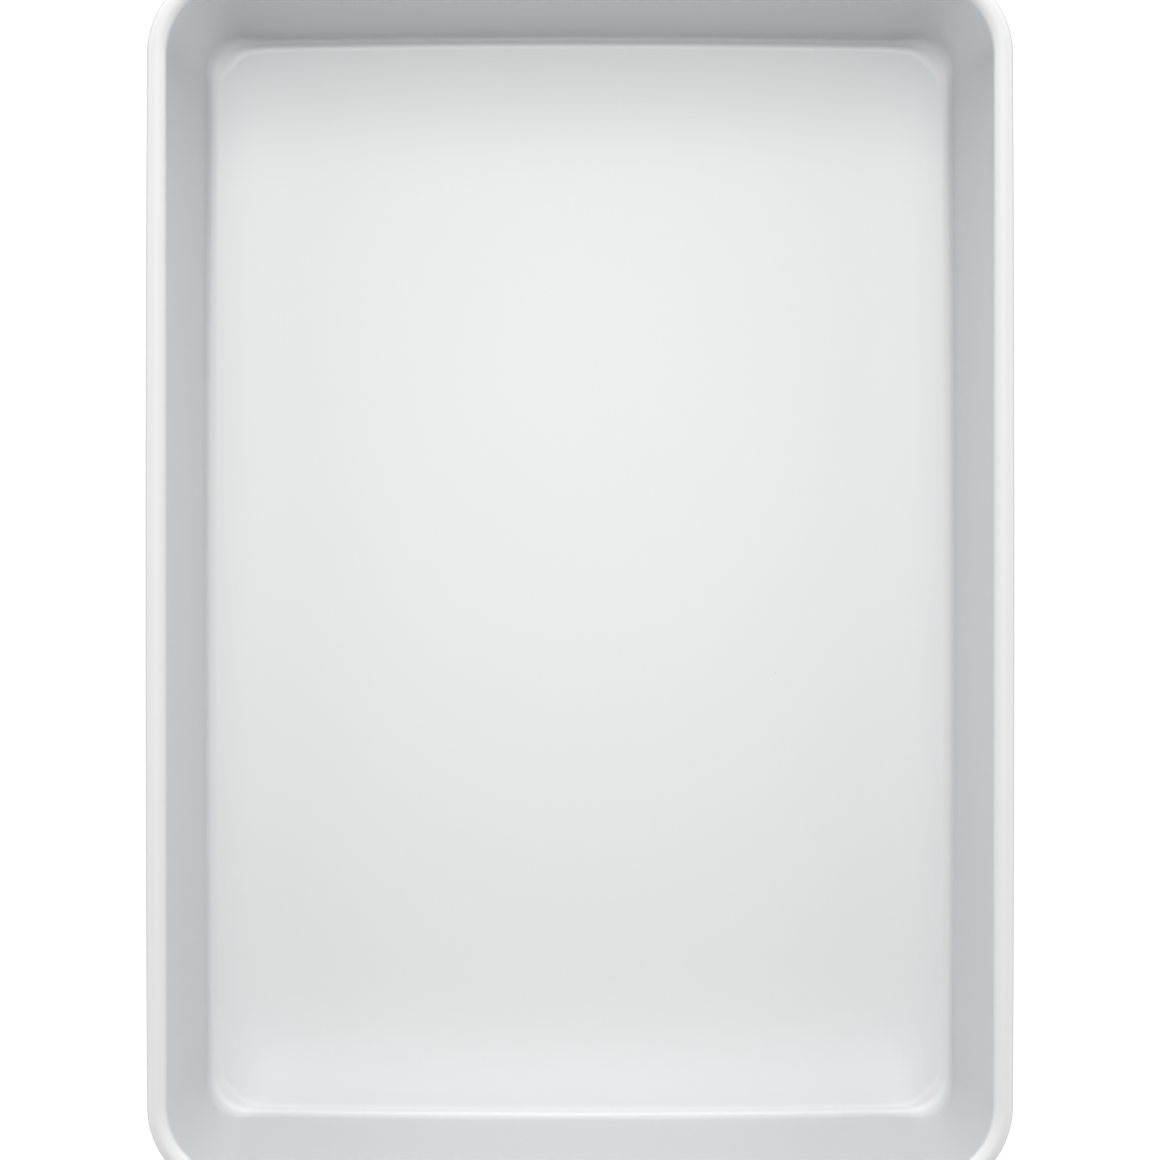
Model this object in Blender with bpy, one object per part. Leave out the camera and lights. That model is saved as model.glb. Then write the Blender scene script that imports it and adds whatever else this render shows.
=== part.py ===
"""Rectangular cake pan, 9 by 13 inches: a drawn aluminium pan with a wired, rolled rim.

The pan is pressed from one sheet, and its edge is curled outwards round a steel wire. Both
pieces follow one outline, the mouth. A section of the sheet stands at each station of that
outline and is joined to the next. The corners are tighter at the foot of the walls than at the
mouth. Metres, +Z up. The origin is on the table, under the middle of the pan, and the long side
runs along Y.
"""

import math

import bmesh
import bpy
from mathutils import Vector

# Driving dimensions.
OPENING_WIDTH = 0.2286  # across the mouth, wall to wall, along X
OPENING_LENGTH = 0.3302  # along Y
INSIDE_DEPTH = 0.0508  # from the top of the rim down to the floor
SHEET = 0.0010  # thickness of the aluminium
CORNER_RADIUS = 0.0195  # upright corners at the mouth, inside
FOOT_RADIUS = 0.0130  # the same corners at the foot of the walls
FLOOR_FILLET = 0.0036  # between floor and wall, inside, along a side
CORNER_FILLET = 0.0070  # the same in the middle of a corner, where the pan is fuller
CORNER_REACH = 0.0240  # how far from a corner's middle the fuller fillet fades out
WALL_LEAN = 0.0005  # how far the foot of each wall stands inside its top
WIRE_DIAMETER = 0.0018
WIRE_CLEARANCE = 0.0003  # between the wire and the curl where the curl is tightest
WIRE_END_GAP = 0.0006  # between the wire's two ends, at the middle of the +Y side
CURL_EDGE_GAP = 0.0004  # between the cut edge of the curl and the wall
BEAD_EASE_AT_CORNER = 0.0012  # how much wider than high the rim is in a corner
BEAD_EASE_AT_MIDDLE = 0.0016  # and at the middle of a side

# How finely the curves are divided.
CORNER_STEPS = 8
REACH_STEPS = 4
MIDDLE_STEPS = 3
FILLET_STEPS = 5
CURL_OVER_STEPS = 8  # from the wall over the top to the outer edge
CURL_UNDER_STEPS = 6  # from there to the cut edge
WIRE_RESOLUTION = 2
LARGEST_SHARE = 0.9  # the most that a fillet or a reach takes of what it lies in
SHARP_ANGLE = math.radians(40)

# The rim, where it is tightest round the wire.
WIRE_RADIUS = WIRE_DIAMETER / 2
BEAD_RADIUS = WIRE_RADIUS + WIRE_CLEARANCE + SHEET
RIM_TOP = SHEET + INSIDE_DEPTH
BEAD_HEIGHT = RIM_TOP - BEAD_RADIUS  # height of the wire's centre
LARGEST_FILLET = LARGEST_SHARE * min(CORNER_RADIUS, FOOT_RADIUS, BEAD_HEIGHT - SHEET)


def smooth_step(share):
    """0 to 1, with level ends."""
    share = min(max(share, 0.0), 1.0)
    return share * share * (3 - 2 * share)


class Station:
    """A place on the outlines of the mouth and the foot, and the sheet's section there."""

    def __init__(self, mouth, foot, outward, bead_ease, cornerness):
        self.mouth = mouth
        self.foot = foot
        self.outward = outward
        self.bead_half_width = BEAD_RADIUS + bead_ease / 2
        fillet = FLOOR_FILLET + (CORNER_FILLET - FLOOR_FILLET) * cornerness
        self.fillet = min(fillet, LARGEST_FILLET)

    def at_mouth(self, offset, height):
        flat = self.mouth + self.outward * offset
        return Vector((flat.x, flat.y, height))

    def at_foot(self, offset, height):
        flat = self.foot + self.outward * offset
        return Vector((flat.x, flat.y, height))


def corner_point(radius, diagonal, outward):
    """A point of one rounded corner of the opening, where the corner has this radius."""
    centre = Vector(
        (
            math.copysign(OPENING_WIDTH / 2 - radius, math.cos(diagonal)),
            math.copysign(OPENING_LENGTH / 2 - radius, math.sin(diagonal)),
        )
    )
    return centre + outward * radius


def corner_stations(quadrant):
    """Stations round one upright corner, anticlockwise."""
    start = quadrant * math.pi / 2
    diagonal = start + math.pi / 4
    for step in range(CORNER_STEPS + 1):
        angle = start + step / CORNER_STEPS * math.pi / 2
        outward = Vector((math.cos(angle), math.sin(angle)))
        mouth = corner_point(CORNER_RADIUS, diagonal, outward)
        foot = corner_point(FOOT_RADIUS, diagonal, outward)
        cornerness = 1 - smooth_step(abs(angle - diagonal) * CORNER_RADIUS / CORNER_REACH)
        yield Station(mouth, foot, outward, BEAD_EASE_AT_CORNER, cornerness)


def side_stations(first, last):
    """Stations between two corners: close together beside each corner, then evenly spaced."""
    half = (last.mouth - first.mouth).length / 2
    half_corner = CORNER_RADIUS * math.pi / 4
    reach = min(max(CORNER_REACH - half_corner, half_corner), LARGEST_SHARE * half)
    distances = [reach * step / REACH_STEPS for step in range(1, REACH_STEPS + 1)]
    distances += [reach + (half - reach) * step / MIDDLE_STEPS for step in range(1, MIDDLE_STEPS + 1)]
    shares = [distance / half / 2 for distance in distances]
    shares += [1 - share for share in reversed(shares[:-1])]
    for share in shares:
        from_corner = 2 * half * min(share, 1 - share)
        bow = 1 - (2 * share - 1) ** 2
        ease = BEAD_EASE_AT_CORNER + bow * (BEAD_EASE_AT_MIDDLE - BEAD_EASE_AT_CORNER)
        cornerness = 1 - smooth_step((from_corner + half_corner) / CORNER_REACH)
        mouth = first.mouth.lerp(last.mouth, share)
        foot = first.foot.lerp(last.foot, share)
        yield Station(mouth, foot, first.outward, ease, cornerness)


def outline():
    """Every station, anticlockwise from the end of the +X side."""
    corners = [list(corner_stations(quadrant)) for quadrant in range(4)]
    stations = []
    for corner, following in zip(corners, corners[1:] + corners[:1]):
        stations += corner
        stations += side_stations(corner[-1], following[0])
    return stations


def arc(start, end, steps):
    return [start + (end - start) * step / steps for step in range(steps + 1)]


def sheet_section(station):
    """The corners of the sheet's closed section: up its inside, round the curl and back."""
    half_width = station.bead_half_width
    curl_end = -math.acos((SHEET + CURL_EDGE_GAP) / half_width - 1)

    def fillet(angle, radius):
        return station.at_foot(
            -WALL_LEAN - station.fillet + radius * math.cos(angle),
            SHEET + station.fillet + radius * math.sin(angle),
        )

    def curl(angle, depth):
        return station.at_mouth(
            half_width + (half_width - depth) * math.cos(angle),
            BEAD_HEIGHT + (BEAD_RADIUS - depth) * math.sin(angle),
        )

    rising = arc(-math.pi / 2, 0, FILLET_STEPS)
    curling = arc(math.pi, 0, CURL_OVER_STEPS) + arc(0, curl_end, CURL_UNDER_STEPS)[1:]
    inside = [fillet(angle, station.fillet) for angle in rising]
    inside += [curl(angle, 0) for angle in curling]
    outside = [curl(angle, SHEET) for angle in reversed(curling)]
    outside += [fillet(angle, station.fillet + SHEET) for angle in reversed(rising)]
    return inside + outside


def make_material(name, colour, roughness):
    material = bpy.data.materials.new(name)
    material.use_nodes = True
    shader = material.node_tree.nodes["Principled BSDF"]
    shader.inputs["Base Color"].default_value = (*colour, 1)
    shader.inputs["Roughness"].default_value = roughness
    shader.inputs["Metallic"].default_value = 1.0
    return material


def make_pan_body(stations):
    """The floor, walls and curl: one section for each station, joined to the next by quads."""
    shape = bmesh.new()
    columns = [
        [shape.verts.new(place) for place in sheet_section(station)]
        for station in stations
    ]
    for column, following in zip(columns, columns[1:] + columns[:1]):
        for low in range(len(column) - 1):
            high = low + 1
            shape.faces.new((column[low], following[low], following[high], column[high]))
    shape.faces.new([column[0] for column in columns])
    shape.faces.new([column[-1] for column in reversed(columns)])
    bmesh.ops.recalc_face_normals(shape, faces=shape.faces)
    mesh = bpy.data.meshes.new("pan_body")
    shape.to_mesh(mesh)
    shape.free()
    mesh.shade_smooth()
    mesh.set_sharp_from_angle(angle=SHARP_ANGLE)
    mesh.materials.append(make_material("satin_anodised_aluminium", (0.86, 0.87, 0.87), 0.45))
    pan = bpy.data.objects.new("pan_body", mesh)
    bpy.context.collection.objects.link(pan)
    return pan


def make_rim_wire(stations):
    """The wire inside the curl: a ring cut at the middle of the +Y side."""
    middle = CORNER_STEPS + REACH_STEPS + MIDDLE_STEPS
    half_gap = Vector((WIRE_END_GAP / 2, 0, 0))
    places = [station.at_mouth(BEAD_RADIUS, BEAD_HEIGHT) for station in stations]
    cut = places[middle]
    path = [cut - half_gap] + places[middle + 1 :] + places[:middle] + [cut + half_gap]
    curve = bpy.data.curves.new("rim_wire", "CURVE")
    curve.dimensions = "3D"
    curve.bevel_depth = WIRE_RADIUS
    curve.bevel_resolution = WIRE_RESOLUTION
    curve.use_fill_caps = True
    spline = curve.splines.new("POLY")
    spline.points.add(len(path) - 1)
    for point, place in zip(spline.points, path):
        point.co = (*place, 1)
    curve.materials.append(make_material("galvanised_steel_wire", (0.62, 0.63, 0.65), 0.35))
    wire = bpy.data.objects.new("rim_wire", curve)
    bpy.context.collection.objects.link(wire)
    return wire


def main():
    for thing in list(bpy.data.objects):
        bpy.data.objects.remove(thing)
    stations = outline()
    make_pan_body(stations)
    make_rim_wire(stations)


main()
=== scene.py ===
"""Dresses the rectangular cake pan: its drawn aluminium sheet, satin anodised all over, the
galvanised wire that the rim is curled round, and a soft white studio seen from straight above.

Lengths are in metres. The origin is on the table under the middle of the pan, and the long side
runs along Y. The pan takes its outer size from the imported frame. Each piece has its own operator
in the Cake Pan tab of the 3D view's sidebar.
"""

import math

import bmesh
import bpy
from bpy.props import FloatProperty, FloatVectorProperty, PointerProperty
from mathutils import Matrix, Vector


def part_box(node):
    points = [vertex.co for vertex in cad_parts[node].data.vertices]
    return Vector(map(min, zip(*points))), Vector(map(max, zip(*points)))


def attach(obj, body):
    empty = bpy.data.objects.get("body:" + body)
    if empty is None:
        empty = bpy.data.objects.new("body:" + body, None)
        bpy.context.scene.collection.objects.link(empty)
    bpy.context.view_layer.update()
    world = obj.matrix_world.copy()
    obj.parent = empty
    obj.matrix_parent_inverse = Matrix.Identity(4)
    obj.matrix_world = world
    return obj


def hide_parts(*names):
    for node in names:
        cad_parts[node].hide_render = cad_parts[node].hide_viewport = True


bl_info = {
    "name": "Rectangular Cake Pan",
    "version": (1, 0, 0),
    "blender": (4, 5, 0),
    "location": "3D View > Sidebar > Cake Pan",
    "description": "Builds a drawn aluminium cake pan with a wired rim, and a studio for it",
    "category": "Add Mesh",
}

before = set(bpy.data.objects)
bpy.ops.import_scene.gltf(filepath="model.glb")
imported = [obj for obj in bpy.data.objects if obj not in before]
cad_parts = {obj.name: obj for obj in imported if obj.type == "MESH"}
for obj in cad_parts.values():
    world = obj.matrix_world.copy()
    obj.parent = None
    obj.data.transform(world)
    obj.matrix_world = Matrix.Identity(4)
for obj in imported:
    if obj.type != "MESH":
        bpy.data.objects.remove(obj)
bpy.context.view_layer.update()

# What the frame says of the rim.
PAN_LOW, PAN_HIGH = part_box("pan_body")
WIRE_LOW, WIRE_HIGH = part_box("rim_wire")
WIRE_RADIUS = (WIRE_HIGH.z - WIRE_LOW.z) / 2
BEAD_HEIGHT = (WIRE_HIGH.z + WIRE_LOW.z) / 2
BEAD_RADIUS = PAN_HIGH.z - BEAD_HEIGHT
OPENING_WIDTH = WIRE_HIGH.x - WIRE_LOW.x - 2 * (BEAD_RADIUS + WIRE_RADIUS)
OPENING_LENGTH = WIRE_HIGH.y - WIRE_LOW.y - 2 * (BEAD_RADIUS + WIRE_RADIUS)
BEAD_WIDTH_AT_MIDDLE = (PAN_HIGH.x - PAN_LOW.x - OPENING_WIDTH) / 2

# How finely the curves are divided.
CORNER_STEPS = 28
REACH_STEPS = 10
MIDDLE_STEPS = 14
FILLET_STEPS = 16
WALL_STEPS = 8
CURL_OVER_STEPS = 26
CURL_UNDER_STEPS = 14
CUT_EDGE_STEPS = 4
WIRE_SIDES = 18
WIRE_END_STEPS = 3

LARGEST_SHARE = 0.9  # the most that a fillet or a reach takes of what it lies in
SHARP_ANGLE = math.radians(50)
ROLL_SPAN = math.radians(30)  # how much of the curl it takes from the wall's finish to the rim's
RIM_EDGE_SHADE_REACH = math.radians(55)  # how far round the curl, from its outermost line, the painted shade reaches
RIM_EDGE_SHADE_FADE = math.radians(40)  # over how much of that the painted shade grows


def length(name, description, default):
    """A length that a user may change."""
    return FloatProperty(
        name=name,
        description=description,
        default=default,
        min=0.0,
        precision=5,
        subtype="DISTANCE",
        unit="LENGTH",
    )


def share(name, description, default, highest=1.0):
    """A plain number from nought up to a highest one."""
    return FloatProperty(
        name=name, description=description, default=default, min=0.0, max=highest, precision=3
    )


def level(name, description, default):
    """A brightness, where 1 is the white of the background."""
    return share(name, description, default, highest=10.0)


def colour(name, description, default):
    """A colour that a user may change."""
    return FloatVectorProperty(
        name=name, description=description, default=default, size=3, min=0.0, max=1.0, subtype="COLOR"
    )


class PanSizes(bpy.types.PropertyGroup):
    """The shape of the sheet."""

    opening_width: length("Opening width", "Across the mouth, wall to wall", OPENING_WIDTH)
    opening_length: length("Opening length", "Along the mouth, wall to wall", OPENING_LENGTH)
    rim_top: length("Height", "From the table to the top of the rim", PAN_HIGH.z)
    sheet: length("Sheet", "Thickness of the aluminium", 0.0010)
    corner_radius: length("Corner radius", "Upright corners at the mouth, inside", 0.0195)
    foot_radius: length("Foot radius", "The same corners at the foot of the wall", 0.0130)
    floor_fillet: length("Floor fillet", "Between floor and wall, along a side", 0.0036)
    corner_fillet: length("Corner fillet", "The same in a corner's middle, where it is fuller", 0.0070)
    corner_reach: length("Corner reach", "Where, from a corner's middle, that fullness ends", 0.0240)
    toe: length("Toe", "How far from a wall the floor begins to rise", 0.0400)
    toe_turn: FloatProperty(
        name="Toe turn",
        description="How steep the floor is beside a wall",
        default=math.radians(7),
        min=0.0,
        max=math.radians(20),
        subtype="ANGLE",
        unit="ROTATION",
    )
    wall_lean: length("Wall lean", "How far the foot of a corner stands inside its top", 0.0005)
    wall_bow: length("Wall bow", "How far a long wall's foot springs out at its middle", 0.0008)
    end_bow: length("End bow", "The same at the middle of an end wall", 0.0011)
    bead_radius: length("Rim radius", "Half the height of the rolled rim", BEAD_RADIUS)
    bead_ease_at_corner: length("Rim ease at a corner", "How much wider than high the rim is", 0.0012)
    bead_ease_at_middle: length(
        "Rim ease at the middle",
        "The same at the middle of a side",
        BEAD_WIDTH_AT_MIDDLE - 2 * BEAD_RADIUS,
    )
    curl_gap: length("Curl gap", "Between the cut edge of the curl and the wall", 0.0004)
    cut_edge_round: length("Cut edge", "How far the sheared edge of the curl bulges", 0.00015)


class WireSizes(bpy.types.PropertyGroup):
    """The shape of the wire in the rim."""

    radius: length("Wire radius", "Half the wire's thickness", WIRE_RADIUS)
    end_gap: length("End gap", "Between the wire's two ends, at the middle of the +Y side", 0.0006)
    end_chamfer: length("End chamfer", "How far the cropped ends are rounded", 0.0002)


class FinishLooks(bpy.types.PropertyGroup):
    """The colours and finishes of both metals, with painted shade on the sheet's walls and rim edge and a
    painted highlight on its rim.
    """

    aluminium: colour("Aluminium", "Colour of the satin anodised sheet", (0.889, 0.905, 0.905))
    aluminium_roughness: share("Aluminium roughness", "How matt the satin finish is", 0.46)
    # Painted shade: the drawn walls get a darker, cooler colour than the floor, in place of the shade
    # that they stand in.
    drawn_aluminium_painted_shade: colour("Drawn aluminium", "The same where it is drawn up", (0.82, 0.834, 0.848))
    # Painted highlight: the rolled rim gets a lighter colour than the floor, in place of the light that
    # it catches.
    rim_aluminium_painted_highlight: colour("Rim aluminium", "The same where it is rolled", (0.965, 0.965, 0.97))
    rim_mattness: share("Rim mattness", "How much more matt the rolled rim is", 0.12)
    # Painted shade: how much darker the colour of the rim's outermost line is made, in place of the shade
    # that it reflects.
    rim_edge_shade_depth: share("Rim edge shade", "How much darker the rim's outermost line is, where it rubs", 0.18)
    zinc: colour("Zinc", "Colour of the galvanised wire", (0.62, 0.63, 0.65))
    zinc_roughness: share("Zinc roughness", "How matt the zinc is", 0.38)


class StudioSettings(bpy.types.PropertyGroup):
    """Where the camera stands, the floor, and the lights of the sky."""

    camera_height: length("Camera height", "From the top of the rim up to the camera", 0.423)
    camera_beyond: length("Camera beyond", "How far the camera stands beyond the middle, along Y", 0.0067)
    lens: FloatProperty(name="Lens", description="Focal length, in millimetres", default=47.63, min=1.0)
    lens_shift: share("Lens shift", "How far it looks back to the middle, in frame widths", 0.02096)
    floor_reach: length("Floor reach", "From the middle of the floor to its edge", 6.0)
    floor_colour: colour("Floor", "Colour of the pale floor", (0.75, 0.75, 0.75))
    floor_lift: level("Floor lift", "How strongly the floor glows to the camera", 0.5)
    floor_gleam: level("Floor gleam", "How strongly the floor glows in reflections", 0.1)
    room: level("Room", "The sky everywhere", 0.30)
    side_walls: level("Side walls", "The pale walls on both sides", 0.66)
    far_window: level("Far window", "The wide window on the far side, fading all round", 1.92)
    ceiling: level("Ceiling", "The small white panel overhead", 0.47)
    far_lamp: level("Far lamp", "The soft lamp above the far end", 1.28)
    side_lamps: level("Side lamps", "The wide soft lamps above both sides", 0.34)
    near_lamp: level("Near lamp", "The soft lamp above the near end", 0.18)


def smooth_step(part):
    """0 to 1, with level ends."""
    part = min(max(part, 0.0), 1.0)
    return part * part * (3 - 2 * part)


def arc(start, end, steps):
    """Evenly spaced values from start to end, with both."""
    return [start + (end - start) * step / steps for step in range(steps + 1)]


# The outline of the mouth.


class Station:
    """A place on the outlines of the mouth and the foot, and the sheet's section there."""

    def __init__(self, sizes, point, foot, outward, cornerness, bow=0.0, spring=0.0):
        self.point = point
        self.foot = foot
        self.outward = outward
        widening = sizes.bead_ease_at_middle - sizes.bead_ease_at_corner
        ease = sizes.bead_ease_at_corner + bow * widening
        self.half_width = sizes.bead_radius + ease / 2
        self.lean = sizes.wall_lean - spring
        self.cornerness = cornerness
        room = LARGEST_SHARE * min(sizes.corner_radius, sizes.foot_radius)
        fillet = sizes.floor_fillet + (sizes.corner_fillet - sizes.floor_fillet) * cornerness
        self.fillet = min(fillet, room, LARGEST_SHARE * (sizes.rim_top - sizes.bead_radius))
        self.along = 0.0

    def flat(self, offset, down=0.0):
        """A point beside the mouth's outline, or beside the foot's where down is 1."""
        return self.point.lerp(self.foot, down) + self.outward * offset

    def at(self, offset, height, down=0.0):
        """The same point, at a height."""
        spot = self.flat(offset, down)
        return Vector((spot.x, spot.y, height))


def corner_point(sizes, radius, diagonal, outward):
    """A point of one rounded corner of the opening, where the corner has this radius."""
    centre = Vector(
        (
            math.copysign(sizes.opening_width / 2 - radius, math.cos(diagonal)),
            math.copysign(sizes.opening_length / 2 - radius, math.sin(diagonal)),
        )
    )
    return centre + outward * radius


def corner_stations(sizes, quadrant):
    """Stations round one upright corner, anticlockwise."""
    start = quadrant * math.pi / 2
    diagonal = start + math.pi / 4
    for angle in arc(start, start + math.pi / 2, CORNER_STEPS):
        outward = Vector((math.cos(angle), math.sin(angle)))
        point = corner_point(sizes, sizes.corner_radius, diagonal, outward)
        foot = corner_point(sizes, sizes.foot_radius, diagonal, outward)
        from_middle = abs(angle - diagonal) * sizes.corner_radius
        cornerness = 1 - smooth_step(from_middle / sizes.corner_reach)
        yield Station(sizes, point, foot, outward, cornerness)


def side_stations(sizes, first, last):
    """Stations between two corners: close together beside each corner, then evenly spaced."""
    half = (last.point - first.point).length / 2
    is_long = abs(first.outward.x) > abs(first.outward.y)
    spring = sizes.wall_bow if is_long else sizes.end_bow
    half_corner = sizes.corner_radius * math.pi / 4
    reach = min(max(sizes.corner_reach - half_corner, half_corner), LARGEST_SHARE * half)
    distances = [reach * step / REACH_STEPS for step in range(1, REACH_STEPS + 1)]
    rest = half - reach
    distances += [reach + rest * step / MIDDLE_STEPS for step in range(1, MIDDLE_STEPS + 1)]
    shares = [distance / half / 2 for distance in distances]
    shares += [1 - part for part in reversed(shares[:-1])]
    for part in shares:
        from_corner = 2 * half * min(part, 1 - part)
        bow = 1 - (2 * part - 1) ** 2
        cornerness = 1 - smooth_step((from_corner + half_corner) / sizes.corner_reach)
        point = first.point.lerp(last.point, part)
        foot = first.foot.lerp(last.foot, part)
        yield Station(sizes, point, foot, first.outward, cornerness, bow, bow * spring)


def outline(sizes):
    """Every station, anticlockwise from the end of the +X side."""
    corners = [list(corner_stations(sizes, quadrant)) for quadrant in range(4)]
    stations = []
    for corner, following in zip(corners, corners[1:] + corners[:1]):
        stations += corner
        stations += side_stations(sizes, corner[-1], following[0])
    for previous, station in zip(stations, stations[1:]):
        station.along = previous.along + (station.point - previous.point).length
    return stations


# The section of the sheet.


class Stop:
    """A place on the sheet's section: a point on each face, how the metal was worked there, and how much
    painted shade it takes on the rim's outer line.
    """

    def __init__(self, inner, outer, down, drawn, rolled=0.0, rim_edge_shade=0.0):
        self.inner = inner
        self.outer = outer
        self.down = down
        self.drawn = drawn
        self.rolled = rolled
        self.rim_edge_shade = rim_edge_shade
        self.spread = 0.0


def floor_rise(sizes, spot):
    """How high the floor stands above its flat middle, and its slope along each axis."""
    walls = Vector((sizes.opening_width, sizes.opening_length)) / 2
    height = 0.0
    slopes = []
    for wall, place in zip(walls, spot):
        part = max(1 - (wall - sizes.floor_fillet - abs(place)) / sizes.toe, 0.0)
        height += math.tan(sizes.toe_turn) * sizes.toe * part**3 / 3
        slopes.append(math.copysign(math.tan(sizes.toe_turn) * part**2, place))
    return height, Vector(slopes)


def fillet_path(sizes, station):
    """The turn from the floor to the wall, as (offset, height, slope) of the inner face."""
    foot = -station.lean
    radius = station.fillet
    start = station.flat(foot - radius * (1 - math.sin(sizes.toe_turn)), down=1.0)
    rise, slopes = floor_rise(sizes, start)
    turn = math.atan(slopes.dot(station.outward))
    base = sizes.sheet + rise - radius * (1 - math.cos(turn))
    return [
        (foot - radius * (1 - math.sin(slope)), base + radius * (1 - math.cos(slope)), slope)
        for slope in arc(turn, math.pi / 2, FILLET_STEPS)
    ]


def sheet_stops(sizes, station):
    """The section from the edge of the floor to the cut edge of the curl."""
    sheet = sizes.sheet
    bead_height = sizes.rim_top - sizes.bead_radius
    fillet = fillet_path(sizes, station)
    stops = []
    for offset, height, slope in fillet:
        outer = (offset + sheet * math.sin(slope), height - sheet * math.cos(slope))
        drawn = smooth_step(slope / (math.pi / 2))
        stops.append(Stop((offset, height), outer, down=1.0, drawn=drawn))
    foot_offset, foot_height, _ = fillet[-1]
    for step in range(1, WALL_STEPS):
        part = step / WALL_STEPS
        offset = foot_offset * (1 - part)
        height = foot_height + (bead_height - foot_height) * part
        outer = (offset + sheet, height)
        stops.append(Stop((offset, height), outer, down=1 - part, drawn=1.0))

    half_width = station.half_width
    curl_end = -math.acos((sheet + sizes.curl_gap) / half_width - 1)

    def curl(angle, depth):
        return (
            half_width + (half_width - depth) * math.cos(angle),
            bead_height + (sizes.bead_radius - depth) * math.sin(angle),
        )

    turned = arc(math.pi, 0, CURL_OVER_STEPS) + arc(0, curl_end, CURL_UNDER_STEPS)[1:]
    for angle in turned:
        rolled = smooth_step((math.pi - angle) / ROLL_SPAN)
        # Painted shade: how much the rim's outermost line is darkened, fading inwards round the curl.
        rim_edge_shade = smooth_step((RIM_EDGE_SHADE_REACH - abs(angle)) / RIM_EDGE_SHADE_FADE)
        inner, outer = curl(angle, 0), curl(angle, sheet)
        stops.append(Stop(inner, outer, down=0.0, drawn=1.0, rolled=rolled, rim_edge_shade=rim_edge_shade))
    for previous, stop in zip(stops, stops[1:]):
        stop.spread = previous.spread + math.dist(previous.inner, stop.inner)
    return stops


def cut_edge(sizes, stop, before):
    """Points round the sheared edge of the curl, from its outer face to its inner one."""
    start, end = Vector(stop.inner), Vector(stop.outer)
    onward = (Vector(stop.inner) - Vector(before.inner)).normalized()
    return [
        start.lerp(end, part) + onward * (sizes.cut_edge_round * math.sin(math.pi * part))
        for part in arc(0, 1, CUT_EDGE_STEPS)[1:-1]
    ]


INNER_FACE, EDGE, OUTER_FACE = 0.0, 0.5, 1.0  # third coordinate of a point on the blank


def smooth_mesh(shape, name):
    """Turns the shape into a mesh, smooth but for its sharp edges."""
    bmesh.ops.recalc_face_normals(shape, faces=shape.faces)
    mesh = bpy.data.meshes.new(name)
    shape.to_mesh(mesh)
    shape.free()
    mesh.shade_smooth()
    mesh.set_sharp_from_angle(angle=SHARP_ANGLE)
    return mesh


class SheetBuilder:
    """Collects the sheet's vertices with what the finish needs to know of each."""

    def __init__(self):
        self.shape = bmesh.new()
        layers = self.shape.verts.layers
        self.blank = layers.float_vector.new("blank")
        self.draw_way = layers.float_vector.new("draw_way")
        self.drawn = layers.float.new("drawn")
        self.rolled = layers.float.new("rolled")
        self.rim_edge_shade = layers.float.new("rim_edge_shade")
        self.cornered = layers.float.new("cornered")

    def vertex(self, place, blank, draw_way, drawn=0.0, rolled=0.0, rim_edge_shade=0.0, cornered=0.0):
        made = self.shape.verts.new(place)
        made[self.blank] = blank
        made[self.draw_way] = draw_way
        made[self.drawn] = drawn
        made[self.rolled] = rolled
        made[self.rim_edge_shade] = rim_edge_shade
        made[self.cornered] = cornered
        return made

    def column(self, sizes, station):
        """One section of the sheet: its inner face upwards, the cut edge, its outer face back."""
        stops = sheet_stops(sizes, station)
        start = stops[0].inner[0]

        def make(point, stop, face):
            blank = station.flat(start + stop.spread, down=1.0)
            return self.vertex(
                station.at(*point, stop.down),
                Vector((blank.x, blank.y, face)),
                Vector((station.along, stop.spread, face)),
                stop.drawn,
                stop.rolled,
                stop.rim_edge_shade,
                station.cornerness * stop.drawn,
            )

        made = [make(stop.inner, stop, INNER_FACE) for stop in stops]
        made += [make(point, stops[-1], EDGE) for point in cut_edge(sizes, stops[-1], stops[-2])]
        made += [make(stop.outer, stop, OUTER_FACE) for stop in reversed(stops)]
        return made

    def floor_patch(self, sizes, ring, quarter, face):
        """Fills a rounded rectangle of vertices with a grid, whose corners are on the diagonals."""
        first = CORNER_STEPS // 2

        def on_ring(index):
            return ring[index % len(ring)]

        near = [on_ring(first + 2 * quarter + step) for step in range(quarter + 1)]
        right = [on_ring(first + 3 * quarter + step) for step in range(quarter + 1)]
        far = [on_ring(first + quarter - step) for step in range(quarter + 1)]
        left = [on_ring(first + 2 * quarter - step) for step in range(quarter + 1)]
        rows = [near]
        for row in range(1, quarter):
            v = row / quarter
            cells = [left[row]]
            for column in range(1, quarter):
                u = column / quarter
                across = near[column].co * (1 - v) + far[column].co * v
                along = left[row].co * (1 - u) + right[row].co * u
                low = near[0].co * (1 - u) + near[-1].co * u
                high = far[0].co * (1 - u) + far[-1].co * u
                place = across + along - low * (1 - v) - high * v
                place.z = sizes.sheet * (face == INNER_FACE) + floor_rise(sizes, place.xy)[0]
                flat = Vector((place.x, place.y, face))
                cells.append(self.vertex(place, flat, flat))
            rows.append(cells + [right[row]])
        rows.append(far)
        for row, above in zip(rows, rows[1:]):
            for column in range(quarter):
                self.shape.faces.new((row[column], row[column + 1], above[column + 1], above[column]))


def sheet_mesh(sizes):
    """The whole sheet: floor, walls and curl, closed all round."""
    stations = outline(sizes)
    builder = SheetBuilder()
    columns = [builder.column(sizes, station) for station in stations]
    for column, following in zip(columns, columns[1:] + columns[:1]):
        for low in range(len(column) - 1):
            high = low + 1
            builder.shape.faces.new((column[low], following[low], following[high], column[high]))
    quarter = len(stations) // 4
    builder.floor_patch(sizes, [column[0] for column in columns], quarter, INNER_FACE)
    builder.floor_patch(sizes, [column[-1] for column in columns], quarter, OUTER_FACE)
    return smooth_mesh(builder.shape, "pan_sheet")


# The wire.


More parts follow.
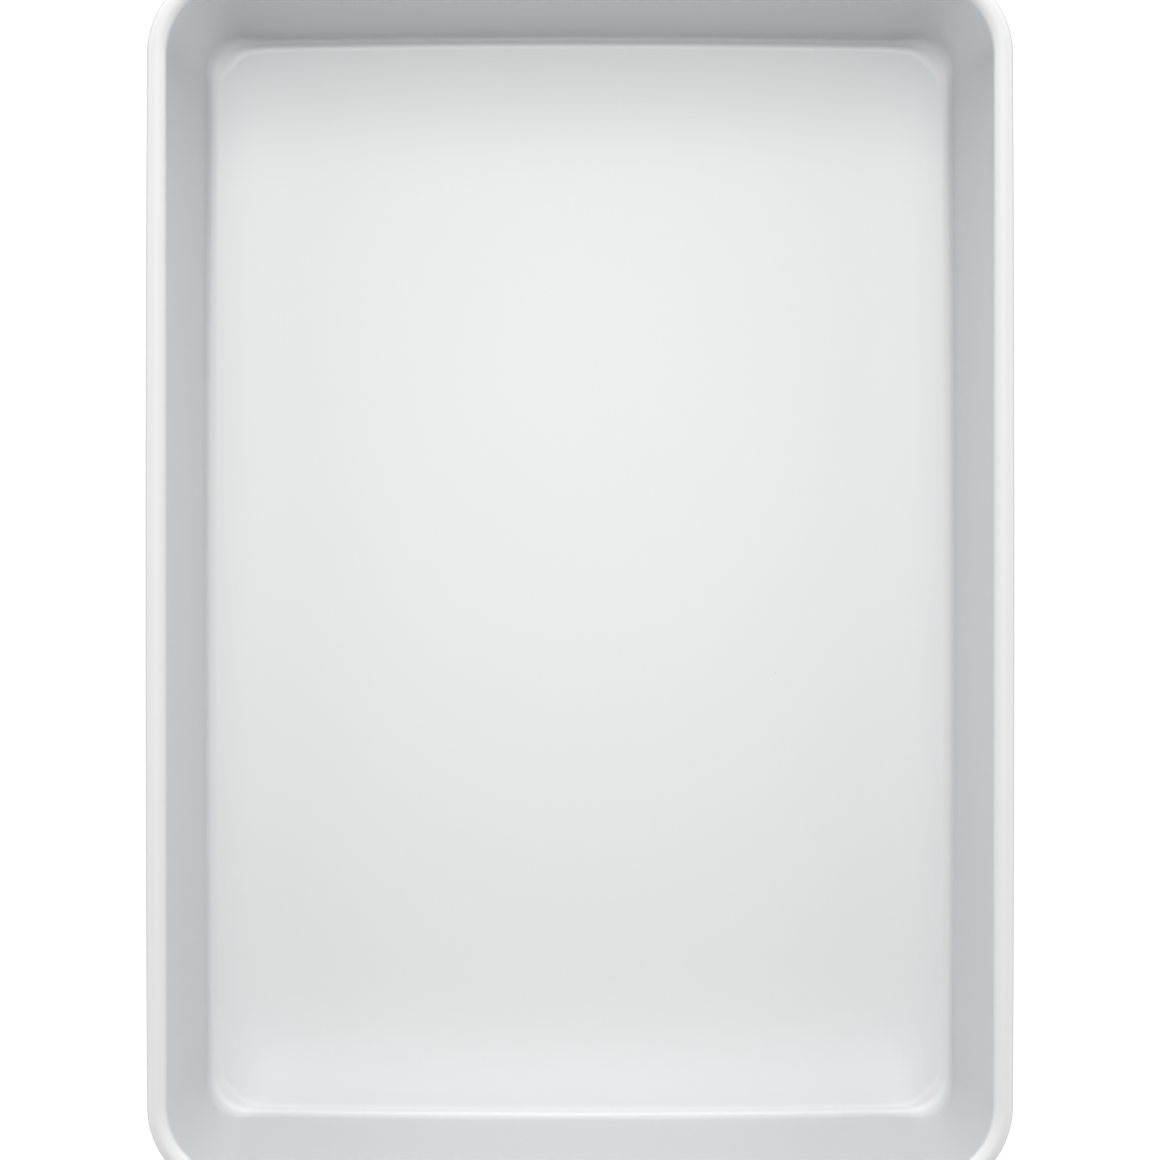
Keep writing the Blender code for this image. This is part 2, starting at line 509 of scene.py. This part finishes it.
def wire_ring(pan, wire):
    """The wire's middle line, open at the middle of the +Y side, and its direction at each point."""
    stations = outline(pan)
    middle = CORNER_STEPS + REACH_STEPS + MIDDLE_STEPS
    bead_height = pan.rim_top - pan.bead_radius
    path = [station.at(pan.bead_radius, bead_height) for station in stations]
    cut = path[middle]
    half_gap = Vector((wire.end_gap / 2, 0, 0))
    ring = [cut - half_gap] + path[middle + 1 :] + path[:middle] + [cut + half_gap]
    ways = [(after - before).normalized() for before, after in zip(ring, ring[1:])]
    tangents = [ways[0]]
    tangents += [(way + following).normalized() for way, following in zip(ways, ways[1:])]
    tangents += [ways[-1]]
    return ring, tangents


def wire_sections(pan, wire):
    """Each round section of the wire as (place, direction, radius), with both ends rounded."""
    ring, tangents = wire_ring(pan, wire)
    chamfer = wire.end_chamfer
    ends = [
        (chamfer * (1 - math.cos(turn)), wire.radius - chamfer * (1 - math.sin(turn)))
        for turn in arc(0, math.pi / 2, WIRE_END_STEPS)
    ]
    sections = [(ring[0] + tangents[0] * setback, tangents[0], radius) for setback, radius in ends]
    sections += [(place, tangent, wire.radius) for place, tangent in zip(ring[1:-1], tangents[1:-1])]
    sections += [
        (ring[-1] - tangents[-1] * setback, tangents[-1], radius) for setback, radius in reversed(ends)
    ]
    return sections


def wire_mesh(pan, wire):
    """The wire: a ring of round section, cropped at the middle of the +Y side."""
    shape = bmesh.new()
    wire_way = shape.verts.layers.float_vector.new("wire_way")
    up = Vector((0, 0, 1))
    sections = wire_sections(pan, wire)
    rows = []
    along = 0.0
    before = sections[0][0]
    for place, tangent, radius in sections:
        along += (place - before).length
        before = place
        side = tangent.cross(up)
        row = []
        for angle in arc(0, 2 * math.pi, WIRE_SIDES)[:-1]:
            x, y = math.cos(angle), math.sin(angle)
            vertex = shape.verts.new(place + (side * x + up * y) * radius)
            vertex[wire_way] = Vector((along, wire.radius * x, wire.radius * y))
            row.append(vertex)
        rows.append(row)
    for row, following in zip(rows, rows[1:]):
        for step in range(WIRE_SIDES):
            beside = (step + 1) % WIRE_SIDES
            shape.faces.new((row[step], row[beside], following[beside], following[step]))
    shape.faces.new(rows[0])
    shape.faces.new(rows[-1])
    return smooth_mesh(shape, "wire")


# Shader node helpers.


def add(tree, kind, inputs=None, **settings):
    """Adds a node. Its inputs are given by name or number, as a value or as the socket to link from."""
    made = tree.nodes.new(kind)
    for name, value in settings.items():
        setattr(made, name, value)
    for name, value in (inputs or {}).items():
        if isinstance(value, bpy.types.NodeSocket):
            tree.links.new(value, made.inputs[name])
        else:
            made.inputs[name].default_value = value
    return made


def calculate(tree, operation, *terms, clamp=False):
    """The result of a Math node."""
    made = add(tree, "ShaderNodeMath", dict(enumerate(terms)), operation=operation, use_clamp=clamp)
    return made.outputs[0]


def remap(tree, value, from_low, from_high, to_low=0.0, to_high=1.0, smooth=False):
    """The result of a Map Range node."""
    made = add(
        tree,
        "ShaderNodeMapRange",
        {
            "Value": value,
            "From Min": from_low,
            "From Max": from_high,
            "To Min": to_low,
            "To Max": to_high,
        },
        interpolation_type="SMOOTHSTEP" if smooth else "LINEAR",
    )
    return made.outputs[0]


def attribute(tree, name):
    return add(tree, "ShaderNodeAttribute", attribute_name=name, attribute_type="GEOMETRY")


def new_group(name, inputs, outputs):
    """A shader node group with float and vector inputs, given as name: (kind, default)."""
    tree = bpy.data.node_groups.new(name, "ShaderNodeTree")
    for socket, (kind, default) in inputs.items():
        made = tree.interface.new_socket(socket, in_out="INPUT", socket_type=kind)
        if default is not None:
            made.default_value = default
    for socket in outputs:
        tree.interface.new_socket(socket, in_out="OUTPUT", socket_type="NodeSocketFloat")
    start = tree.nodes.new("NodeGroupInput")
    end = tree.nodes.new("NodeGroupOutput")
    return tree, start.outputs, end.inputs


def place_group(tree, group, vector, values):
    """Places a group in a material, with values for its inputs by name."""
    return add(tree, "ShaderNodeGroup", {"Vector": vector, **values}, node_tree=group).outputs


VECTOR = ("NodeSocketVector", None)
NOISE_SPAN = (0.3, 0.7)  # nearly all of a noise lies between these


def number(default):
    return ("NodeSocketFloat", default)


def grain_group():
    """Fine parallel lines along the second coordinate, as rolls and dies leave them."""
    tree, given, out = new_group(
        "Metal Grain",
        {"Vector": VECTOR, "Spacing": number(0.0004), "Length": number(0.03)},
        ["Lines"],
    )
    parts = add(tree, "ShaderNodeSeparateXYZ", {0: given["Vector"]}).outputs
    across = calculate(tree, "DIVIDE", parts[0], given["Spacing"])
    along = calculate(tree, "DIVIDE", parts[1], given["Length"])
    place = add(tree, "ShaderNodeCombineXYZ", {0: across, 1: along, 2: parts[2]}).outputs[0]
    settings = {"Vector": place, "Scale": 1.0, "Detail": 3.0, "Roughness": 0.65}
    noise = add(tree, "ShaderNodeTexNoise", settings)
    tree.links.new(noise.outputs["Fac"], out["Lines"])
    return tree


def mottle_group():
    """Soft clouds, as an etching bath leaves them on a satin finish."""
    tree, given, out = new_group(
        "Satin Mottle",
        {"Vector": VECTOR, "Patch Size": number(0.03), "Detail": number(3.0)},
        ["Clouds"],
    )
    scale = calculate(tree, "DIVIDE", 1.0, given["Patch Size"])
    noise = add(
        tree,
        "ShaderNodeTexNoise",
        {"Vector": given["Vector"], "Scale": scale, "Detail": given["Detail"], "Roughness": 0.5},
    )
    tree.links.new(remap(tree, noise.outputs["Fac"], *NOISE_SPAN), out["Clouds"])
    return tree


HAIRLINE_BENDS = 12.0  # to the metre
HAIRLINE_BEND = 0.012  # how far they swing aside
HAIRLINE_LEVEL = 0.82  # noise above this, less the share, is a mark
HAIRLINE_SHARPNESS = 20.0


def hairline_group():
    """Short, thin, nearly straight marks that lie at one angle, from handling."""
    tree, given, out = new_group(
        "Handling Hairlines",
        {
            "Vector": VECTOR,
            "Turn": number(0.5),
            "Spacing": number(0.0009),
            "Length": number(0.02),
            "Share": number(0.1),
        },
        ["Marks"],
    )
    turned = add(
        tree,
        "ShaderNodeVectorRotate",
        {"Vector": given["Vector"], "Angle": given["Turn"]},
        rotation_type="Z_AXIS",
    ).outputs[0]
    settings = {"Vector": turned, "Scale": HAIRLINE_BENDS, "Detail": 1.0}
    bend = add(tree, "ShaderNodeTexNoise", settings).outputs["Fac"]
    parts = add(tree, "ShaderNodeSeparateXYZ", {0: turned}).outputs
    bent = calculate(tree, "MULTIPLY_ADD", bend, HAIRLINE_BEND, parts[0])
    across = calculate(tree, "DIVIDE", bent, given["Spacing"])
    along = calculate(tree, "DIVIDE", parts[1], given["Length"])
    place = add(tree, "ShaderNodeCombineXYZ", {0: across, 1: along, 2: parts[2]}).outputs[0]
    settings = {"Vector": place, "Scale": 1.0, "Detail": 0.0}
    noise = add(tree, "ShaderNodeTexNoise", settings).outputs["Fac"]
    threshold = calculate(tree, "SUBTRACT", HAIRLINE_LEVEL, given["Share"])
    above = calculate(tree, "SUBTRACT", noise, threshold)
    marks = calculate(tree, "MULTIPLY", above, HAIRLINE_SHARPNESS, clamp=True)
    tree.links.new(marks, out["Marks"])
    return tree


def speck_group():
    """Sparse tiny pits and specks."""
    tree, given, out = new_group(
        "Tiny Specks",
        {"Vector": VECTOR, "Spacing": number(0.012), "Size": number(0.0003), "Share": number(0.3)},
        ["Specks"],
    )
    scale = calculate(tree, "DIVIDE", 1.0, given["Spacing"])
    settings = {"Vector": given["Vector"], "Scale": scale, "Randomness": 1.0}
    cells = add(tree, "ShaderNodeTexVoronoi", settings)
    distance = calculate(tree, "MULTIPLY", cells.outputs["Distance"], given["Spacing"])
    chosen = add(tree, "ShaderNodeSeparateColor", {0: cells.outputs["Color"]}).outputs
    size = calculate(tree, "MULTIPLY", given["Size"], chosen[1])
    near = remap(tree, distance, size, 0.0, smooth=True)
    picked = calculate(tree, "LESS_THAN", chosen[0], given["Share"])
    tree.links.new(calculate(tree, "MULTIPLY", near, picked), out["Specks"])
    return tree


class Finishes:
    """The shared node groups, made once."""

    made = {}

    @classmethod
    def get(cls, maker):
        if maker.__name__ not in cls.made:
            cls.made[maker.__name__] = maker()
        return cls.made[maker.__name__]


def new_material(name):
    material = bpy.data.materials.new(name)
    material.use_nodes = True
    tree = material.node_tree
    return material, tree, tree.nodes["Principled BSDF"]


# A Mix node's inputs: the factor is 0, its numbers are 2 and 3, and its colours are 6 and 7.


def blend(tree, amount, low, high):
    """The number low where amount is 0, and high where it is 1."""
    return add(tree, "ShaderNodeMix", {0: amount, 2: low, 3: high}, data_type="FLOAT").outputs[0]


def mix_colours(tree, amount, first, second, kind="MIX"):
    """The first colour where amount is 0, mixed with the second where it is 1."""
    inputs = {0: amount, 6: first, 7: second}
    return add(tree, "ShaderNodeMix", inputs, data_type="RGBA", blend_type=kind).outputs[2]


def crosswise(tree, way):
    """The same coordinates after a quarter turn, so that lines run the other way."""
    inputs = {"Vector": way, "Angle": math.pi / 2}
    return add(tree, "ShaderNodeVectorRotate", inputs, rotation_type="Z_AXIS").outputs[0]


def tint(tree, base, tone):
    """The base colour times a grey tone."""
    grey = add(tree, "ShaderNodeCombineColor", {0: tone, 1: tone, 2: tone}).outputs[0]
    return mix_colours(tree, 1.0, base, grey, "MULTIPLY")


# The satin aluminium. Spacings, lengths and sizes are in metres.
ROLLING_LINES = {"Spacing": 0.00035, "Length": 0.022}
DIE_LINES = {"Spacing": 0.0007, "Length": 0.03}
CURL_LINES = {"Spacing": 0.0005, "Length": 0.05}
ETCHING_CLOUDS = {"Patch Size": 0.035, "Detail": 3.0}
FROST = {"Patch Size": 0.0006, "Detail": 2.0}
HAIRLINES = (
    {"Turn": 0.35, "Spacing": 0.0009, "Length": 0.018, "Share": 0.06},
    {"Turn": -1.1, "Spacing": 0.0011, "Length": 0.012, "Share": 0.05},
)
PITS = {"Spacing": 0.014, "Size": 0.00035, "Share": 0.35}
DIE_SHARE = 0.7  # how much of the rolling lines the die wipes out
LINE_TONES = (0.995, 1.005)  # the metal's tone at the lowest and highest of each pattern
CLOUD_TONES = (0.998, 1.002)
PIT_TONES = (1.0, 0.75)
CLOUD_ROUGHNESS = (-0.004, 0.004)  # what each pattern adds to the roughness
LINE_ROUGHNESS = (-0.01, 0.01)
HAIRLINE_ROUGHNESS = -0.01
CORNER_ROUGHNESS = 0.02
FROST_HEIGHT = 0.5  # heights against the lines' own
HAIRLINE_HEIGHT = -0.05
PIT_HEIGHT = -2.0
SATIN_RELIEF = 0.000004


def satin_aluminium(looks):
    """Rolled sheet, drawn and curled, then etched and anodised to a soft satin, with painted shade on the
    walls and the rim's outer line and a painted highlight on the rim.
    """
    material, tree, shader = new_material("satin_anodised_aluminium")
    blank = attribute(tree, "blank").outputs["Vector"]
    draw_way = attribute(tree, "draw_way").outputs["Vector"]
    drawn = attribute(tree, "drawn").outputs["Fac"]
    rolled = attribute(tree, "rolled").outputs["Fac"]
    rim_edge_shade = attribute(tree, "rim_edge_shade").outputs["Fac"]
    cornered = attribute(tree, "cornered").outputs["Fac"]

    grain, mottle = Finishes.get(grain_group), Finishes.get(mottle_group)
    hairlines, specks = Finishes.get(hairline_group), Finishes.get(speck_group)
    rolling_lines = place_group(tree, grain, blank, ROLLING_LINES)["Lines"]
    die_lines = place_group(tree, grain, draw_way, DIE_LINES)["Lines"]
    curl_lines = place_group(tree, grain, crosswise(tree, draw_way), CURL_LINES)["Lines"]
    clouds = place_group(tree, mottle, blank, ETCHING_CLOUDS)["Clouds"]
    frost = place_group(tree, mottle, blank, FROST)["Clouds"]
    marks = [place_group(tree, hairlines, blank, values)["Marks"] for values in HAIRLINES]
    marked = calculate(tree, "MAXIMUM", *marks)
    pits = place_group(tree, specks, blank, PITS)["Specks"]

    die_part = calculate(tree, "MULTIPLY", drawn, DIE_SHARE)
    lines = blend(tree, die_part, rolling_lines, die_lines)
    lines = blend(tree, rolled, lines, curl_lines)

    tone = remap(tree, lines, *NOISE_SPAN, *LINE_TONES)
    tone = calculate(tree, "MULTIPLY", tone, remap(tree, clouds, 0.0, 1.0, *CLOUD_TONES))
    tone = calculate(tree, "MULTIPLY", tone, remap(tree, pits, 0.0, 1.0, *PIT_TONES))
    # Painted shade: darkens the rim's outermost line, in place of the shaded table that it reflects.
    tone = calculate(tree, "MULTIPLY", tone, remap(tree, rim_edge_shade, 0.0, 1.0, 1.0, 1.0 - looks.rim_edge_shade_depth))
    # Painted shade on the drawn walls, through their darker, cooler colour.
    base = mix_colours(tree, drawn, (*looks.aluminium, 1), (*looks.drawn_aluminium_painted_shade, 1))
    # Painted highlight on the rolled rim, through its lighter colour.
    base = mix_colours(tree, rolled, base, (*looks.rim_aluminium_painted_highlight, 1))
    tree.links.new(tint(tree, base, tone), shader.inputs["Base Color"])

    cloudy = remap(tree, clouds, 0.0, 1.0, *CLOUD_ROUGHNESS)
    rough = calculate(tree, "ADD", cloudy, looks.aluminium_roughness)
    rough = calculate(tree, "ADD", rough, remap(tree, lines, *NOISE_SPAN, *LINE_ROUGHNESS))
    rough = calculate(tree, "MULTIPLY_ADD", marked, HAIRLINE_ROUGHNESS, rough)
    rough = calculate(tree, "MULTIPLY_ADD", rolled, looks.rim_mattness, rough)
    rough = calculate(tree, "MULTIPLY_ADD", cornered, CORNER_ROUGHNESS, rough)
    tree.links.new(rough, shader.inputs["Roughness"])
    shader.inputs["Metallic"].default_value = 1.0

    height = calculate(tree, "MULTIPLY_ADD", frost, FROST_HEIGHT, lines)
    height = calculate(tree, "MULTIPLY_ADD", marked, HAIRLINE_HEIGHT, height)
    height = calculate(tree, "MULTIPLY_ADD", pits, PIT_HEIGHT, height)
    bump = add(tree, "ShaderNodeBump", {"Height": height, "Distance": SATIN_RELIEF, "Strength": 1.0})
    tree.links.new(bump.outputs["Normal"], shader.inputs["Normal"])
    return material


# The zinc on the wire, in the same units.
DRAWING_LINES = {"Spacing": 0.00015, "Length": 0.01}
ZINC_CLOUDS = {"Patch Size": 0.003, "Detail": 4.0}
SPANGLES = 900.0  # to the metre
SPANGLE_TONES = (0.9, 1.05)
ZINC_CLOUD_TONES = (0.85, 1.05)
ZINC_CLOUD_ROUGHNESS = (-0.06, 0.1)
ZINC_RELIEF = 0.000008


def galvanised_wire(looks):
    """Drawn steel wire with a dull zinc coat."""
    material, tree, shader = new_material("galvanised_steel_wire")
    way = attribute(tree, "wire_way").outputs["Vector"]
    grain, mottle = Finishes.get(grain_group), Finishes.get(mottle_group)
    lines = place_group(tree, grain, crosswise(tree, way), DRAWING_LINES)["Lines"]
    clouds = place_group(tree, mottle, way, ZINC_CLOUDS)["Clouds"]
    spangle = add(tree, "ShaderNodeTexVoronoi", {"Vector": way, "Scale": SPANGLES})
    facets = add(tree, "ShaderNodeSeparateColor", {0: spangle.outputs["Color"]}).outputs[0]

    tone = remap(tree, facets, 0.0, 1.0, *SPANGLE_TONES)
    tone = calculate(tree, "MULTIPLY", tone, remap(tree, clouds, 0.0, 1.0, *ZINC_CLOUD_TONES))
    tree.links.new(tint(tree, (*looks.zinc, 1), tone), shader.inputs["Base Color"])
    cloudy = remap(tree, clouds, 0.0, 1.0, *ZINC_CLOUD_ROUGHNESS)
    rough = calculate(tree, "ADD", cloudy, looks.zinc_roughness)
    tree.links.new(rough, shader.inputs["Roughness"])
    shader.inputs["Metallic"].default_value = 1.0
    bump = add(tree, "ShaderNodeBump", {"Height": lines, "Distance": ZINC_RELIEF, "Strength": 1.0})
    tree.links.new(bump.outputs["Normal"], shader.inputs["Normal"])
    return material


# The studio.

SKY_COLOUR = (1.0, 1.0, 0.992)
WHITE_LEVEL = 1.0  # of the background that the camera sees
BELOW_LEVEL = 0.7  # of the light from below, for views of the underside
FAR, NEAR = 0.0, math.pi  # azimuths, from +Y
SIDES = (math.pi / 2, -math.pi / 2)
# Elevations at which a light is full, and at which it is gone.
WINDOW_FADE = (math.radians(15), math.radians(45))
CEILING_FADE = (math.radians(82), math.radians(70))
# Elevations of the lamps, and how far round them their light reaches.
FAR_LAMP_ELEVATION = math.radians(60)
FAR_LAMP_SPREAD = math.radians(15)
SIDE_LAMP_ELEVATION = math.radians(70)
SIDE_LAMP_SPREAD = math.radians(30)
NEAR_LAMP_ELEVATION = math.radians(70)
NEAR_LAMP_SPREAD = math.radians(22)


def studio_sky(studio):
    """A room with pale side walls, a wide window on its far side, soft lamps and a ceiling panel."""
    world = bpy.data.worlds.new("studio_sky")
    world.use_nodes = True
    tree = world.node_tree
    direction = add(tree, "ShaderNodeTexCoord").outputs["Generated"]
    across, along, height = add(tree, "ShaderNodeSeparateXYZ", {0: direction}).outputs
    elevation = calculate(tree, "ARCSINE", height)

    def fade(full, gone):
        return remap(tree, elevation, gone, full, smooth=True)

    def lamp(azimuth, lamp_elevation, spread):
        """Round, and brightest in its middle."""
        flat = math.cos(lamp_elevation)
        way = (flat * math.sin(azimuth), flat * math.cos(azimuth), math.sin(lamp_elevation))
        nearness = add(tree, "ShaderNodeVectorMath", {0: direction, 1: way}, operation="DOT_PRODUCT")
        behind = calculate(tree, "SUBTRACT", nearness.outputs["Value"], 1.0)
        return calculate(tree, "EXPONENT", calculate(tree, "DIVIDE", behind, 1 - math.cos(spread)))

    far_part = calculate(tree, "POWER", calculate(tree, "MAXIMUM", along, 0.0), 2.0)
    parts = [
        (studio.side_walls, calculate(tree, "MULTIPLY", across, across)),
        (studio.far_window, calculate(tree, "MULTIPLY", far_part, fade(*WINDOW_FADE))),
        (studio.ceiling, fade(*CEILING_FADE)),
        (studio.far_lamp, lamp(FAR, FAR_LAMP_ELEVATION, FAR_LAMP_SPREAD)),
        (studio.near_lamp, lamp(NEAR, NEAR_LAMP_ELEVATION, NEAR_LAMP_SPREAD)),
    ]
    for side in SIDES:
        parts.append((studio.side_lamps, lamp(side, SIDE_LAMP_ELEVATION, SIDE_LAMP_SPREAD)))
    sky = studio.room
    for brightness, shape in parts:
        sky = calculate(tree, "MULTIPLY_ADD", shape, brightness, sky)
    sky = blend(tree, calculate(tree, "LESS_THAN", height, 0.0), sky, BELOW_LEVEL)
    camera = add(tree, "ShaderNodeLightPath").outputs["Is Camera Ray"]
    background = tree.nodes["Background"]
    background.inputs["Color"].default_value = (*SKY_COLOUR, 1)
    tree.links.new(blend(tree, camera, sky, WHITE_LEVEL), background.inputs["Strength"])
    return world


FLOOR_DROP = 0.00005  # the floor lies this far under the pan
CLOSE = 0.001  # light this near to the floor passes through it, so that it reaches the underside


def floor_material(studio):
    """Pale floor that keeps the pan's shadow. From below it can't be seen."""
    material, tree, shader = new_material("studio_floor")
    shader.inputs["Base Color"].default_value = (*studio.floor_colour, 1)
    shader.inputs["Roughness"].default_value = 1.0
    shader.inputs["Specular IOR Level"].default_value = 0.0
    path = add(tree, "ShaderNodeLightPath").outputs
    seen = calculate(tree, "MULTIPLY", path["Is Camera Ray"], studio.floor_lift)
    seen = calculate(tree, "MULTIPLY_ADD", path["Is Glossy Ray"], studio.floor_gleam, seen)
    lift = add(tree, "ShaderNodeEmission", {"Strength": seen})
    lit = add(tree, "ShaderNodeAddShader", {0: shader.outputs[0], 1: lift.outputs[0]})
    short = calculate(tree, "LESS_THAN", path["Ray Length"], CLOSE)
    behind = add(tree, "ShaderNodeNewGeometry").outputs["Backfacing"]
    through = calculate(tree, "MAXIMUM", short, behind)
    clear = add(tree, "ShaderNodeBsdfTransparent")
    mixed = add(tree, "ShaderNodeMixShader", {0: through, 1: lit.outputs[0], 2: clear.outputs[0]})
    tree.links.new(mixed.outputs[0], tree.nodes["Material Output"].inputs["Surface"])
    return material


def floor_mesh(studio):
    """A square, just under the pan."""
    reach = studio.floor_reach
    corners = [(-reach, -reach), (reach, -reach), (reach, reach), (-reach, reach)]
    mesh = bpy.data.meshes.new("studio_floor")
    mesh.from_pydata([(x, y, -FLOOR_DROP) for x, y in corners], [], [range(4)])
    return mesh


def show(name, mesh, material=None):
    """Puts a mesh in the scene as an object."""
    if material:
        mesh.materials.append(material)
    made = bpy.data.objects.new(name, mesh)
    bpy.context.scene.collection.objects.link(made)
    return made


# Operators.


class CAKEPAN_OT_sheet(bpy.types.Operator):
    """Build the pan's sheet: floor, walls and curled rim"""

    bl_idname = "cake_pan.sheet"
    bl_label = "Pan Sheet"
    bl_options = {"REGISTER", "UNDO"}

    def execute(self, context):
        scene = context.scene
        pan = show("pan", sheet_mesh(scene.cake_pan_sizes), satin_aluminium(scene.cake_pan_looks))
        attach(pan, "root")
        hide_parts("pan_body")
        return {"FINISHED"}


class CAKEPAN_OT_wire(bpy.types.Operator):
    """Build the wire inside the rim"""

    bl_idname = "cake_pan.wire"
    bl_label = "Rim Wire"
    bl_options = {"REGISTER", "UNDO"}

    def execute(self, context):
        scene = context.scene
        mesh = wire_mesh(scene.cake_pan_sizes, scene.cake_pan_wire)
        wire = show("wire", mesh, galvanised_wire(scene.cake_pan_looks))
        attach(wire, "root")
        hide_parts("rim_wire")
        return {"FINISHED"}


class CAKEPAN_OT_studio(bpy.types.Operator):
    """Build the floor, the soft sky and the camera"""

    bl_idname = "cake_pan.studio"
    bl_label = "Studio"
    bl_options = {"REGISTER", "UNDO"}

    def execute(self, context):
        scene = context.scene
        studio = scene.cake_pan_studio
        show("studio_floor", floor_mesh(studio), floor_material(studio))
        scene.world = studio_sky(studio)
        lens = bpy.data.cameras.new("camera")
        lens.lens = studio.lens
        lens.shift_y = -studio.lens_shift
        camera = bpy.data.objects.new("camera", lens)
        camera.location = (0, studio.camera_beyond, scene.cake_pan_sizes.rim_top + studio.camera_height)
        scene.collection.objects.link(camera)
        scene.camera = camera
        scene.view_settings.view_transform = "Standard"
        return {"FINISHED"}


class CAKEPAN_PT_sidebar(bpy.types.Panel):
    """The pan's tab in the sidebar"""

    bl_idname = "CAKEPAN_PT_sidebar"
    bl_label = "Cake Pan"
    bl_space_type = "VIEW_3D"
    bl_region_type = "UI"
    bl_category = "Cake Pan"

    def draw(self, context):
        layout = self.layout
        for operator, groups in STEPS:
            box = layout.box()
            for group in groups:
                settings = getattr(context.scene, group)
                for name in settings.__annotations__:
                    box.prop(settings, name)
            box.operator(operator.bl_idname)


GROUPS = {
    "cake_pan_sizes": PanSizes,
    "cake_pan_wire": WireSizes,
    "cake_pan_looks": FinishLooks,
    "cake_pan_studio": StudioSettings,
}
STEPS = (
    (CAKEPAN_OT_sheet, ("cake_pan_sizes", "cake_pan_looks")),
    (CAKEPAN_OT_wire, ("cake_pan_wire",)),
    (CAKEPAN_OT_studio, ("cake_pan_studio",)),
)
CLASSES = (*GROUPS.values(), *(operator for operator, _ in STEPS), CAKEPAN_PT_sidebar)


def register():
    for item in CLASSES:
        bpy.utils.register_class(item)
    for name, group in GROUPS.items():
        setattr(bpy.types.Scene, name, PointerProperty(type=group))


def unregister():
    for name in GROUPS:
        delattr(bpy.types.Scene, name)
    for item in reversed(CLASSES):
        bpy.utils.unregister_class(item)


def main():
    register()
    bpy.ops.cake_pan.sheet()
    bpy.ops.cake_pan.wire()
    bpy.ops.cake_pan.studio()


if __name__ == "__main__":
    main()
